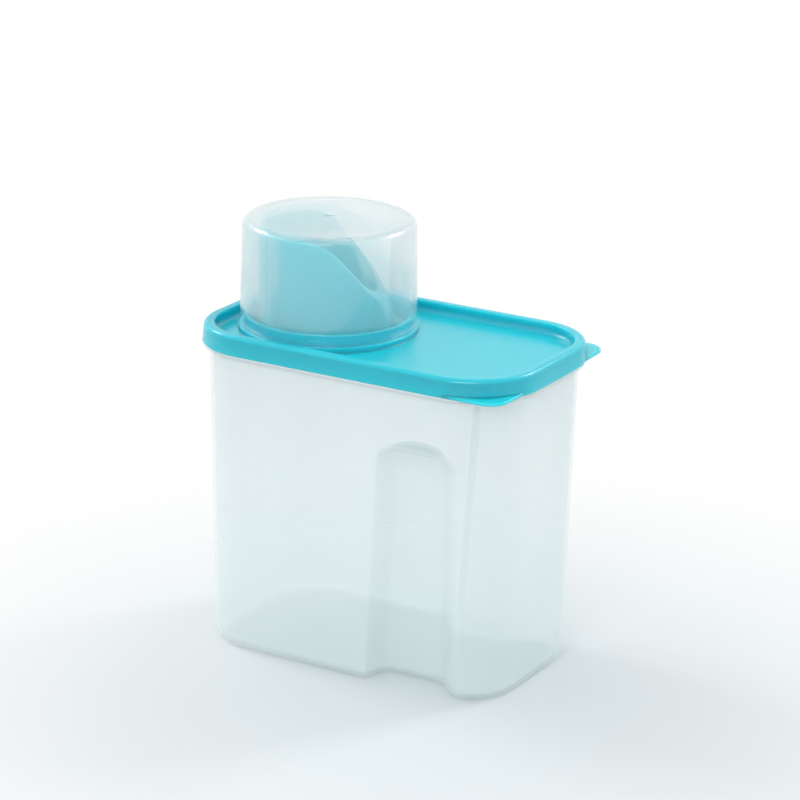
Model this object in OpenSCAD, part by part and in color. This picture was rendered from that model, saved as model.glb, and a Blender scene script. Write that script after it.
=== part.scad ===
// Storage box for laundry powder: a bin with grip recesses, a lid with a pouring spout, and a cup.
// Millimetres, +Z up. The origin is the middle of the bin's underside, and +X is the tab end of the lid.

/* [Bin] */
// Length of the bin at its base
bin_length = 160; // [150:1:220]
// Width of the bin at its base
bin_width = 93.8; // [88:0.2:130]
// Height of the bin up to the top of its flange
bin_height = 146.5; // [135:0.5:220]
// How far each side leans out from the base to the flange
bin_draft = 2.5; // [1:0.1:4]
// Corner radius in plan, at the base
bin_corner_r = 27.6; // [24:0.2:34]
// How much the corner radius grows from the base to the flange
bin_corner_growth = 1.3; // [0:0.1:3]
// Radius of the edge around the base
base_edge_r = 5; // [3:0.5:7]
// Thickness of the walls
bin_wall = 1.5; // [1:0.1:2.2]
// Thickness of the floor
bin_floor = 1.6; // [1.2:0.1:3]

/* [Grip recess] */
// Height of the ledge that the fingers hook under
grip_height = 116; // [90:1:125]
// Depth of the recess at the base
grip_depth = 14.2; // [8:0.1:16]
// How much deeper the recess is at its ledge
grip_depth_gain = 1.1; // [0:0.1:2]
// Distance from the bin's tab end to the recess's far edge
grip_end = 17.7; // [16:0.1:22]
// Width of the recess at the base
grip_width = 46.8; // [38:0.2:52]
// How far the near edge leans away from the middle up to the ledge
grip_near_lean = 5.8; // [0:0.2:7]
// Length of the steep wall at the near edge, along the bin
grip_near_run = 4.3; // [2:0.1:6]
// Length of the slanted wall at the far edge, along the bin
grip_far_run = 14.6; // [11:0.1:17]
// Radius between the steep wall and the recess's floor
grip_near_fillet = 6.3; // [3:0.1:7]
// Radius between the slanted wall and the recess's floor
grip_far_fillet = 7.4; // [4:0.1:9]
// Radius where the slanted wall turns into the bin's corner
grip_shoulder_r = 12; // [6:0.5:13]
// Radius of the ledge's upper corner at the near edge
grip_near_top_r = 6; // [4:0.5:9]
// Radius of the ledge's upper corner at the far edge
grip_far_top_r = 10; // [7:0.5:13]
// Radius between the recess's floor and its ledge
ledge_fillet = 2.5; // [1:0.1:3]
// Radius along the ledge's front edge
ledge_edge_r = 1; // [0.5:0.1:1.5]

/* [Rim] */
// Thickness of the flange that carries the lid
flange_t = 2; // [1.5:0.1:3]
// How far the flange's edge stays inside the lid's skirt
flange_inset = 0.7; // [0.2:0.1:1.2]
// How far the neck stands out from the bin's wall
neck_step = 1.4; // [1:0.1:2]
// Thickness of the neck
neck_t = 1.6; // [1.2:0.1:2]
// Height of the slope that widens the bin into its neck
neck_slope_h = 3.5; // [2.5:0.1:6]
// Gap between the neck and the lid's channel, on each face
neck_clearance = 0.35; // [0.2:0.05:0.5]
// Gap between the neck's top and the lid's channel
neck_headroom = 1.2; // [0.4:0.1:2]

/* [Lid] */
// Height of the lid's rim above the flange
rim_h = 9.3; // [8:0.1:14]
// Thickness of the lid's plates
lid_t = 1.8; // [1.4:0.1:2.2]
// Thickness of the skirt outside the neck
skirt_t = 1.85; // [1.4:0.05:2.4]
// Thickness of the wall inside the neck
plug_t = 1.75; // [1.4:0.05:2.4]
// How far the skirt leans in towards its top
skirt_draft = 0.7; // [0:0.1:0.9]
// Radius of the rim's outer top edge
rim_edge_r = 2.15; // [1:0.05:2.5]
// Radius of the rim's inner top edge
rim_inner_edge_r = 1; // [0.5:0.1:1.5]
// Depth of the sunken panel below the rim
panel_drop = 5.3; // [4.6:0.1:6]
// Radius between the panel and the rim
panel_fillet = 3; // [1.5:0.1:3.4]

/* [Tabs] */
// Thickness of the lifting tabs
tab_t = 1.5; // [1:0.1:3]
// Radius of the tabs' outer corners
tab_corner_r = 9; // [5:0.5:12]
// How far the tabs' end face stays inside the lid's length
tab_inset = 1.3; // [0:0.1:2]

/* [Spout] */
// Outer radius of the spout
spout_r = 32.45; // [28:0.05:34]
// Thickness of the spout
spout_t = 2; // [1.4:0.1:3]
// Height of the spout above the panel
spout_h = 48.7; // [40:0.1:49]
// Direction of the spout's low side, from the tab end towards the back
spout_turn = 31; // [-180:1:180]
// Steepness of the cut towards the low side
spout_cut_angle = 50.7; // [35:0.1:55]
// Radius between the level lip and the cut
spout_cut_r = 18; // [8:1:24]
// Distance from the axis to the middle of the bend in the lip, towards the high side
spout_bend = 1.1; // [0:0.1:6]
// Radius of the flattened face on the low side
spout_face_r = 119; // [60:1:200]
// How far outside the spout's radius the flattened face's line meets the panel
spout_face_start = 0.55; // [-2:0.05:2]
// How far the flattened face leans in
spout_face_lean = 23.3; // [10:0.1:25]

/* [Collar] */
// Gap between the spout and the collar around it
collar_gap = 5.25; // [3:0.05:7]
// Height of the collar above the panel
collar_h = 7.9; // [6:0.1:10]
// Thickness of the collar
collar_t = 1.6; // [1.2:0.1:2.4]
// Height of the cup's seat above the panel
seat_h = 2.6; // [1.5:0.1:4]
// How far the seat's edge stays inside the cup's mouth
seat_inset = 1.2; // [0.5:0.1:1.6]

/* [Cup] */
// Gap between the spout's lip and the cup's closed end
cup_headroom = 3.2; // [1.5:0.1:10]
// Gap between the collar and the cup
cup_clearance = 0.7; // [0.3:0.05:1]
// How much narrower the cup is at its closed end than above its mouth
cup_taper = 0.95; // [0:0.05:2]
// How far the cup's mouth flares out
cup_flare = 1.5; // [1:0.1:3]
// Gap between the cup's mouth and the rim at the end without tabs
cup_end_gap = 2.3; // [1:0.1:8]
// Height of the flare at the mouth
cup_flare_h = 6.9; // [5:0.1:9]
// Height of the lip around the mouth
cup_lip_h = 1.6; // [1:0.1:2.5]
// Thickness of the cup
cup_wall = 1.3; // [1:0.1:1.6]
// Radius of the edge around the cup's closed end
cup_edge_r = 4; // [2.5:0.1:6]
// Radius of the moulding mark in the middle of the closed end
gate_r = 2.4; // [1.5:0.1:5]
// Depth of the moulding mark
gate_depth = 0.4; // [0.2:0.1:0.6]

/* [Hidden] */

bin_color = [0.88, 0.93, 0.94, 0.8];
lid_color = [0.23, 0.72, 0.78];
cup_color = [0.86, 0.93, 0.96, 0.55];

$fn = 96;
// Steps in each short arc
arc_steps = 2;
// Steps in each corner of the bin
corner_steps = 6;
// Slope that the ledge has from front to back
ledge_slope = 0.3;
// Overlap between solids that are joined
weld = 0.4;

// The outline of the bin's top, which the rim and the lid follow at a distance
top_a = bin_length / 2 + bin_draft;
top_b = bin_width / 2 + bin_draft;
top_r = bin_corner_r + bin_corner_growth;

// Distances from that outline, positive outwards
neck_outer = neck_step;
neck_inner = neck_step - neck_t;
skirt_inner = neck_outer + neck_clearance;
skirt_outer = skirt_inner + skirt_t;
plug_outer = neck_inner - neck_clearance;
plug_inner = plug_outer - plug_t;
flange_outer = skirt_outer - flange_inset;

// Heights
rim_top = bin_height + rim_h;
panel_top = rim_top - panel_drop;
panel_bottom = panel_top - lid_t;
neck_top = rim_top - lid_t - neck_headroom;
spout_top = panel_top + spout_h;
collar_top = panel_top + collar_h;
seat_top = panel_top + seat_h;
cup_top = spout_top + cup_headroom + cup_wall;
flare_top = seat_top + cup_flare_h;

// Radii and place of the collar and the cup
collar_r = spout_r + collar_gap + collar_t;
cup_low_r = collar_r + cup_clearance + cup_wall;
cup_top_r = cup_low_r - cup_taper;
cup_mouth_r = cup_low_r + cup_flare;
seat_r = cup_mouth_r - seat_inset;
spout_offset = top_a + plug_inner - cup_end_gap - cup_mouth_r;

// Edges of the recess at the base
grip_far_x = bin_length / 2 - grip_end;
grip_near_x = grip_far_x - grip_width;

function unit(v) = v / norm(v);
function wrap(angle) = angle > 180 ? angle - 360 : (angle < -180 ? angle + 360 : angle);

// Points of the arc that rounds the corner q between p and s
function rounded(p, q, s, radius, steps) =
    let (
        u = unit(p - q),
        v = unit(s - q),
        half = acos(u * v) / 2,
        reach = min(radius / tan(half), 0.48 * norm(p - q), 0.48 * norm(s - q)),
        r = reach * tan(half),
        centre = q + unit(u + v) * r / sin(half),
        from = q + u * reach - centre,
        to = q + v * reach - centre,
        start = atan2(from.y, from.x),
        turn = wrap(atan2(to.y, to.x) - start)
    )
    [for (i = [0:steps]) centre + r * [cos(start + turn * i / steps), sin(start + turn * i / steps)]];

// How far a rounded upper corner has moved in at height z, below a ledge at height top
function corner_shift(z, radius, top) =
    z <= top - radius ? 0 : radius - sqrt(max(0, radius * radius - pow(min(z, top) - top + radius, 2)));

// Section of the recess as [x, depth] points, where inset is the distance into the bin's wall
function recess(z, inset) =
    let (
        top = grip_height + inset,
        share = min(z, top) / grip_height,
        depth = grip_depth + grip_depth_gain * share,
        near_angle = atan2(depth, grip_near_run),
        far_angle = atan2(depth, grip_far_run),
        near = grip_near_x + grip_near_lean * share - inset * tan(near_angle / 2)
            + corner_shift(z, grip_near_top_r + inset, top),
        far = grip_far_x + inset * tan(far_angle / 2) - corner_shift(z, grip_far_top_r + inset, top),
        near_floor = near + grip_near_run,
        far_floor = far - grip_far_run,
        shoulder = max(grip_shoulder_r - inset, 1),
        before = [near - grip_near_run, 0],
        a = [near, 0],
        b = [near_floor, depth],
        c = [far_floor, depth],
        d = [far, 0],
        after = [far + grip_far_run, 0]
    )
    concat(
        rounded(before, a, b, max(0.8 - inset, 0.2), 1),
        rounded(a, b, c, grip_near_fillet + inset, arc_steps),
        rounded(b, c, d, grip_far_fillet + inset, arc_steps),
        rounded(c, d, after, shoulder, arc_steps + 1)
    );

// Half of the bin's outline at height z, from the left end over the front to the tab end
function front_outline(z, inset, share) =
    let (
        up = min(z, bin_height) / bin_height,
        r = bin_corner_r + bin_corner_growth * up - inset,
        cx = bin_length / 2 + bin_draft * up - inset - r,
        cy = bin_width / 2 + bin_draft * up - inset - r,
        section = recess(z, inset),
        last_angle = acos((section[len(section) - 1].x - cx) / r)
    )
    concat(
        [for (i = [0:corner_steps]) let (t = 90 * i / corner_steps) [-cx - r * cos(t), -cy - r * sin(t)]],
        [for (p = section) [p.x, share * p.y - cy - (p.x > cx ? sqrt(r * r - pow(p.x - cx, 2)) : r)]],
        [for (i = [1:corner_steps]) let (t = last_angle * (1 - i / corner_steps))
            [cx + r * cos(t), -cy - r * sin(t)]]
    );

// Whole outline of the bin at height z, with share of the recess's depth
function ring(z, inset, share) =
    let (front = front_outline(z, inset, share), n = len(front))
    concat(
        [for (p = front) [p.x, p.y, z]],
        [for (i = [n - 1:-1:0]) [front[i].x, -front[i].y, z]]
    );

// Heights and shares of depth at which the recess closes under its ledge
function ledge_steps(inset) =
    let (
        top = grip_height + inset,
        depth = grip_depth + grip_depth_gain,
        fillet = ledge_fillet + inset,
        radius = grip_far_top_r + inset
    )
    concat(
        [for (k = [1, 0.65]) [top - radius * k, 1]],
        [for (t = [0:45:90]) [top - ledge_slope - fillet * (1 - sin(t)), 1 - fillet * (1 - cos(t)) / depth]],
        [[top, ledge_edge_r / depth], [top + ledge_edge_r, 0]]
    );

function reversed(list) = [for (i = [len(list) - 1:-1:0]) list[i]];

function outer_rings() = concat(
    [for (t = [0:45:90]) ring(base_edge_r * (1 - cos(t)), base_edge_r * (1 - sin(t)), 1)],
    [for (step = ledge_steps(0)) ring(step[0], 0, step[1])],
    [ring(bin_height - flange_t, 0, 0)]
);

function rim_rings() = [
    ring(bin_height - flange_t, -flange_outer, 0),
    ring(bin_height, -flange_outer, 0),
    ring(bin_height, -neck_outer, 0),
    ring(neck_top - 0.3 * neck_t, -neck_outer, 0),
    ring(neck_top, -neck_outer + 0.3 * neck_t, 0),
    ring(neck_top, -neck_inner - 0.3 * neck_t, 0),
    ring(neck_top - 0.3 * neck_t, -neck_inner, 0),
    ring(bin_height - 0.5 * flange_t, -neck_inner, 0),
    ring(bin_height - 0.5 * flange_t - neck_slope_h, bin_wall, 0)
];

function inner_rings() =
    let (fillet = base_edge_r - bin_wall)
    concat(
        [for (step = reversed(ledge_steps(bin_wall))) ring(step[0], bin_wall, step[1])],
        [for (t = [90:-45:0]) ring(bin_floor + fillet * (1 - cos(t)), bin_wall + fillet * (1 - sin(t)), 1)]
    );

// Closed skin over a stack of rings with the same number of points
module skin(rings) {
    n = len(rings[0]);
    last = len(rings) - 1;
    points = [for (one = rings) each one];
    sides = [
        for (i = [0:last - 1], j = [0:n - 1])
            let (k = (j + 1) % n)
            each [[i * n + j, (i + 1) * n + j, (i + 1) * n + k], [i * n + j, (i + 1) * n + k, i * n + k]]
    ];
    first_cap = [for (j = [0:n - 1]) j];
    last_cap = [for (j = [n - 1:-1:0]) last * n + j];
    polyhedron(points = points, faces = concat([first_cap], sides, [last_cap]), convexity = 8);
}

module storage_box() {
    color(bin_color)
        skin(concat(outer_rings(), rim_rings(), inner_rings()));
}

// Sweeps a profile drawn as [distance from the bin's top outline, height] around that outline
module around_rim() {
    cx = top_a - top_r;
    cy = top_b - top_r;
    for (end = [0, 1], side = [0, 1]) mirror([end, 0, 0]) mirror([0, side, 0])
        translate([cx, cy, 0])
            rotate_extrude(angle = 90)
                translate([top_r, 0]) children();
    for (end = [0, 180]) rotate(end) {
        translate([top_a, cy, 0]) rotate([90, 0, 0]) linear_extrude(2 * cy) children();
        translate([-cx, top_b, 0]) rotate([90, 0, 90]) linear_extrude(2 * cx) children();
    }
}

// Section of the lid's rim: skirt, channel over the neck, and the edge of the panel
module rim_section() {
    edge_centre = [skirt_outer - skirt_draft - rim_edge_r, rim_top - rim_edge_r];
    inner_centre = [plug_inner + rim_inner_edge_r, rim_top - rim_inner_edge_r];
    fillet_centre = [plug_inner - panel_fillet, panel_top + panel_fillet];
    panel_edge = plug_inner - 2 * panel_fillet;
    polygon(concat(
        [[skirt_inner, bin_height], [skirt_outer, bin_height]],
        [for (t = [0:15:90]) edge_centre + rim_edge_r * [cos(t), sin(t)]],
        [for (t = [90:30:180]) inner_centre + rim_inner_edge_r * [cos(t), sin(t)]],
        [for (t = [0:-15:-90]) fillet_centre + panel_fillet * [cos(t), sin(t)]],
        [[panel_edge, panel_top], [panel_edge, panel_bottom], [plug_outer, panel_bottom]],
        [[plug_outer, rim_top - lid_t], [skirt_inner, rim_top - lid_t]]
    ));
}

module rounded_rectangle(half_x, half_y, r) {
    square([2 * half_x, 2 * (half_y - r)], center = true);
    square([2 * (half_x - r), 2 * half_y], center = true);
    for (x = [-1, 1], y = [-1, 1]) translate([x * (half_x - r), y * (half_y - r)]) circle(r);
}

module panel() {
    reach = plug_inner - 1.5 * panel_fillet;
    translate([0, 0, panel_bottom])
        linear_extrude(lid_t)
            rounded_rectangle(top_a + reach, top_b + reach, top_r + reach);
}

// Flat tab that squares off one of the lid's corners
module tab() {
    cx = top_a - top_r;
    cy = top_b - top_r;
    x_end = top_a + skirt_outer - tab_inset;
    y_end = top_b + skirt_outer;
    translate([0, 0, bin_height])
        linear_extrude(tab_t)
            difference() {
                union() {
                    translate([cx, cy]) square([x_end - cx - tab_corner_r, y_end - cy]);
                    translate([cx, cy]) square([x_end - cx, y_end - cy - tab_corner_r]);
                    translate([x_end - tab_corner_r, y_end - tab_corner_r]) circle(tab_corner_r);
                }
                translate([cx, cy]) circle(top_r + skirt_outer - weld);
            }
}

// Collar and the seat that the cup stands on
module collar() {
    inner = collar_r - collar_t;
    foot = panel_top - weld;
    edge = 0.3 * collar_t;
    rotate_extrude()
        polygon([
            [inner, foot], [seat_r, foot], [seat_r, seat_top], [collar_r, seat_top],
            [collar_r, collar_top - edge], [collar_r - edge, collar_top],
            [inner + edge, collar_top], [inner, collar_top - edge]
        ]);
}

// Solid inside the spout's skin, where inset is the distance from its outer face
module spout_form(inset) {
    foot = panel_bottom - 2 * weld;
    height = spout_top - foot + 1;
    intersection() {
        translate([0, 0, foot]) cylinder(r = spout_r - inset, h = height);
        translate([spout_r + spout_face_start - spout_face_r, 0, panel_top])
            rotate([0, -spout_face_lean, 0])
                translate([0, 0, -height])
                    cylinder(r = spout_face_r - inset, h = 3 * height, $fn = 4 * $fn);
    }
}

// Side view of all that the cut takes off the spout, as [towards the low side, height]
module spout_cut() {
    half = spout_cut_angle / 2;
    reach = spout_cut_r * tan(half);
    centre = [-spout_bend - reach, spout_top - spout_cut_r];
    beyond = spout_r + spout_cut_r;
    drop = (beyond + spout_bend) * tan(spout_cut_angle);
    polygon(concat(
        [[-beyond, spout_top + beyond], [-beyond, spout_top]],
        [for (t = [90:-spout_cut_angle / 6:89.9 - spout_cut_angle]) centre + spout_cut_r * [cos(t), sin(t)]],
        [[beyond, spout_top - drop], [beyond, spout_top + beyond]]
    ));
}

module spout() {
    rotate(spout_turn)
        difference() {
            spout_form(0);
            spout_form(spout_t);
            translate([0, 2 * spout_r, 0])
                rotate([90, 0, 0])
                    linear_extrude(4 * spout_r) spout_cut();
        }
}

module lid() {
    color(lid_color) {
        difference() {
            union() {
                around_rim() rim_section();
                panel();
                for (side = [0, 1]) mirror([0, side, 0]) tab();
                translate([-spout_offset, 0, 0]) collar();
            }
            translate([-spout_offset, 0, panel_bottom - 1])
                cylinder(r = spout_r - spout_t / 2, h = lid_t + 2);
        }
        translate([-spout_offset, 0, 0]) spout();
    }
}

module measuring_cup() {
    top_centre = [cup_top_r - cup_edge_r, cup_top - cup_edge_r];
    inner_edge = cup_edge_r - cup_wall;
    lip_top = seat_top + cup_lip_h;
    flare = [for (t = [0:0.25:1]) [
        cup_low_r + (cup_mouth_r - cup_low_r) * (1 - cos(90 * t)),
        flare_top + (lip_top - flare_top) * sin(90 * t)
    ]];
    color(cup_color)
        translate([-spout_offset, 0, 0])
            rotate_extrude()
                polygon(concat(
                    [[0, cup_top - gate_depth], [gate_r, cup_top - gate_depth], [gate_r + gate_depth, cup_top]],
                    [for (t = [90:-15:0]) top_centre + cup_edge_r * [cos(t), sin(t)]],
                    flare,
                    [[cup_mouth_r, seat_top], [cup_mouth_r - cup_wall, seat_top]],
                    [for (i = [len(flare) - 2:-1:0]) flare[i] - [cup_wall, 0]],
                    [for (t = [0:15:90]) top_centre + inner_edge * [cos(t), sin(t)]],
                    [[0, cup_top - cup_wall]]
                ));
}

storage_box();
lid();
measuring_cup();
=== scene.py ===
"""Looks of a laundry powder storage box: frosted bin, blue lid with its spout, clear measuring cup.

Lengths in the code are millimetres until a mesh is made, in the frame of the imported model: the
origin is the middle of the bin's underside, +X is the tab end of the lid, +Y the back and +Z up.
"""

from __future__ import annotations

import logging
import math
from dataclasses import dataclass
from enum import Enum

import bmesh
import bpy
import numpy as np
from mathutils import Matrix, Vector

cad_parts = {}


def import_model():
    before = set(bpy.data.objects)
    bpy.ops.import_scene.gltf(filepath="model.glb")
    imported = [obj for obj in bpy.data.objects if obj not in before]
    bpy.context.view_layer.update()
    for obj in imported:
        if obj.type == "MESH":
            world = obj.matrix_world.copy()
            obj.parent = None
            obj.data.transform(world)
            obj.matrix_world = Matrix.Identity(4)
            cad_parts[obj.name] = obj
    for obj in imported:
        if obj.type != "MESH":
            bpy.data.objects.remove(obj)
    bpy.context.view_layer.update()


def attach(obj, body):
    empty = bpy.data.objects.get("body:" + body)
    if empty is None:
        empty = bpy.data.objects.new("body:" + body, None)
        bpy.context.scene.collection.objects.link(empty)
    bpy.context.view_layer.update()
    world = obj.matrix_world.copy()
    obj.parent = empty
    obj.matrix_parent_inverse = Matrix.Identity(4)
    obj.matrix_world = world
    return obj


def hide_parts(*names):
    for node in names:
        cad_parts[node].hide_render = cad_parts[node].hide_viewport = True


LOG = logging.getLogger("storage_box")
MM = 0.001
PHOTO_PIXELS = 800
SAME_POINT = 1e-7
NO_LENGTH = 1e-8
COAT_ROUGHNESS = 0.06
GRAIN_SCALE, WAVE_SCALE, SCUFF_SCALE = 2200.0, 28.0, 420.0
CLIP_RANGE = (0.05, 50.0)
HORIZON = (-0.12, 0.06)
LEG_SHARE = 0.48
CORNER_POINTS = 20
COLLAR_POINTS, CUP_POINTS, SPOUT_POINTS = 256, 288, 320


class Ends(Enum):
    """How a grid of rings is closed at its first and last ring."""

    LOOP = "last ring joins the first"
    LADDER = "each end ring is bridged from its front half to its back half"
    POLE = "each end ring is one point on the axis"
    CAPS = "each end ring is filled with one flat face"


class Body(Enum):
    """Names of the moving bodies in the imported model."""

    BOX = "box"
    LID = "lid"
    CUP = "cup"


def spaced(start: np.ndarray, stop: np.ndarray, count: int) -> np.ndarray:
    """Numbers from start to stop, close together near both ends.

    The share along the way is (1 - cos(pi t)) / 2 for t from 0 to 1.

    Args:
        start: First values, of any shape.
        stop: Last values, of the same shape.
        count: How many numbers, along a new last axis.

    Returns:
        An array with one more axis than start.
    """
    share = (1.0 - np.cos(np.linspace(0.0, np.pi, count))) / 2.0
    start, stop = np.asarray(start, float)[..., None], np.asarray(stop, float)[..., None]
    return start + (stop - start) * share


def arc(
    centre: tuple[float, float], radius: float, start: float, stop: float, count: int
) -> np.ndarray:
    """Points of a circular arc: centre + radius * (cos t, sin t), with t in degrees.

    Args:
        centre: Centre of the arc.
        radius: Radius of the arc.
        start: First angle in degrees.
        stop: Last angle in degrees.
        count: Number of points.

    Returns:
        An array of shape (count, 2).
    """
    t = np.radians(np.linspace(start, stop, count))
    return np.array(centre) + radius * np.column_stack([np.cos(t), np.sin(t)])


def rounded_corner(
    p: np.ndarray, q: np.ndarray, s: np.ndarray, radius: np.ndarray, count: int
) -> np.ndarray:
    """Arcs that round the corner q between p and s, one for each row.

    The arc touches both legs. Its centre lies on the bisector at radius / sin(half the
    corner's angle).

    Args:
        p: Points before the corners, shape (rows, 2).
        q: The corners, shape (rows, 2).
        s: Points after the corners, shape (rows, 2).
        radius: Radii, shape (rows,), cut down where a leg is too short.
        count: Points in each arc.

    Returns:
        Points of shape (rows, count, 2).
    """
    leg_p, leg_s = np.linalg.norm(p - q, axis=1), np.linalg.norm(s - q, axis=1)
    u, v = (p - q) / leg_p[:, None], (s - q) / leg_s[:, None]
    half = np.arccos(np.clip((u * v).sum(1), -1.0, 1.0)) / 2.0
    reach = np.minimum(radius / np.tan(half), LEG_SHARE * np.minimum(leg_p, leg_s))
    r = reach * np.tan(half)
    bisector = (u + v) / np.linalg.norm(u + v, axis=1)[:, None]
    centre = q + bisector * (r / np.sin(half))[:, None]
    first, last = q + u * reach[:, None] - centre, q + v * reach[:, None] - centre
    start = np.arctan2(first[:, 1], first[:, 0])
    turn = (np.arctan2(last[:, 1], last[:, 0]) - start + np.pi) % (2.0 * np.pi) - np.pi
    t = start[:, None] + turn[:, None] * np.linspace(0.0, 1.0, count)
    return centre[:, None] + r[:, None, None] * np.stack([np.cos(t), np.sin(t)], axis=2)


def between(a: np.ndarray, b: np.ndarray, count: int) -> np.ndarray:
    """Inner points of the straight lines from a to b, shape (rows, count, 2)."""
    return np.moveaxis(spaced(a, b, count + 2)[..., 1:-1], -1, 1)


def columns(*values: np.ndarray | float) -> np.ndarray:
    """Arrays side by side as columns, where a single number fills its whole column."""
    return np.column_stack(np.broadcast_arrays(*values))


def at_height(plan: np.ndarray, height: np.ndarray | float) -> np.ndarray:
    """Rings of plan points with one height for each ring, or one for all of them."""
    level = np.broadcast_to(np.reshape(height, (-1, 1, 1)), plan.shape[:2] + (1,))
    return np.concatenate([plan, level], axis=2)


def grid_object(name: str, rings: np.ndarray, ends: Ends) -> bpy.types.Object:
    """Makes a closed, smooth, outward-facing object from a grid of rings and links it to the scene.

    Args:
        name: Name of the piece.
        rings: Points in millimetres, shape (rings, points around, 3).
        ends: How the first and last ring are closed.

    Returns:
        The object.
    """
    rows, around = rings.shape[:2]
    index = np.arange(rows * around).reshape(rows, around)
    upper = np.roll(index, -1, axis=0) if ends is Ends.LOOP else index[1:]
    lower = index if ends is Ends.LOOP else index[:-1]
    following = np.roll(lower, -1, axis=1), np.roll(upper, -1, axis=1)
    quads = np.stack([lower, *following, upper], axis=2).reshape(-1, 4)
    if ends is Ends.LADDER:
        half = around // 2
        for ring, turned in ((index[0], True), (index[-1], False)):
            front, back = ring[:half], ring[half:][::-1]
            rungs = np.stack([front[:-1], front[1:], back[1:], back[:-1]], axis=1)
            quads = np.concatenate([quads, rungs[:, ::-1] if turned else rungs])
    faces = quads.tolist()
    if ends is Ends.CAPS:
        faces += [index[0][::-1].tolist(), index[-1].tolist()]
    mesh = bpy.data.meshes.new(name)
    mesh.from_pydata((rings.reshape(-1, 3) * MM).tolist(), [], faces)
    shape = bmesh.new()
    shape.from_mesh(mesh)
    if ends is not Ends.CAPS:
        bmesh.ops.remove_doubles(shape, verts=shape.verts, dist=SAME_POINT)
        bmesh.ops.dissolve_degenerate(shape, edges=shape.edges, dist=NO_LENGTH)
    bmesh.ops.recalc_face_normals(shape, faces=shape.faces)
    shape.to_mesh(mesh)
    shape.free()
    mesh.polygons.foreach_set("use_smooth", np.ones(len(mesh.polygons), dtype=bool))
    piece = bpy.data.objects.new(name, mesh)
    bpy.context.scene.collection.objects.link(piece)
    return piece


def revolved(
    name: str, profile: np.ndarray, axis_x: float, around: int, ends: Ends
) -> bpy.types.Object:
    """Turns a profile of (radius, height) points about a vertical axis.

    Each point becomes the ring (axis_x + radius cos t, radius sin t, height).

    Args:
        name: Name of the piece.
        profile: Points in millimetres, shape (points, 2).
        axis_x: Place of the axis along X.
        around: Number of points in each ring.
        ends: LOOP for a closed profile, POLE for one that starts and ends on the axis.

    Returns:
        The object.
    """
    t = np.linspace(0.0, 2.0 * np.pi, around, endpoint=False)
    radius, height = profile[:, :1], profile[:, 1:]
    level = np.broadcast_to(height, (len(profile), around))
    rings = np.stack([axis_x + radius * np.cos(t), radius * np.sin(t), level], axis=2)
    return grid_object(name, rings, ends)


@dataclass(frozen=True)
class Outline:
    """Rounded rectangle in plan with slightly bulging ends, the same for bin and lid."""

    half_x: float
    half_y: float
    corner: float
    bow: float = 1.0

    def bowed(self, points: np.ndarray) -> np.ndarray:
        """Pulls the ends in away from the middle: x loses bow * (x / half_x) * (y / half_y)^2.

        Args:
            points: Plan or space points, with x and y first on the last axis.

        Returns:
            A changed copy.
        """
        bent = points.copy()
        share = (points[..., 0] / self.half_x) * (points[..., 1] / self.half_y) ** 2
        bent[..., 0] -= self.bow * share
        return bent

    def rings(self, distance: np.ndarray, height: np.ndarray) -> np.ndarray:
        """Rings that run parallel to the outline.

        Each corner is a quarter circle of radius corner + distance, and each side is straight.

        Args:
            distance: How far each ring lies outside the outline, shape (rings,).
            height: Height of each ring, shape (rings,).

        Returns:
            Points of shape (rings, points around, 3).
        """
        cx, cy = self.half_x - self.corner, self.half_y - self.corner
        radius = (self.corner + np.asarray(distance, float))[:, None]
        stretches = []
        for turn, (sx, sy) in enumerate(((1, 1), (-1, 1), (-1, -1), (1, -1))):
            t = np.radians(90.0 * turn) + np.linspace(0.0, np.pi / 2.0, CORNER_POINTS)
            x, y = sx * cx + radius * np.cos(t), sy * cy + radius * np.sin(t)
            stretches.append(np.stack([x, y], axis=2))
        plan = []
        for turn, stretch in enumerate(stretches):
            following = stretches[(turn + 1) % 4]
            plan += [stretch, between(stretch[:, -1], following[:, 0], 10)]
        return at_height(self.bowed(np.concatenate(plan, axis=1)), height)


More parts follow.
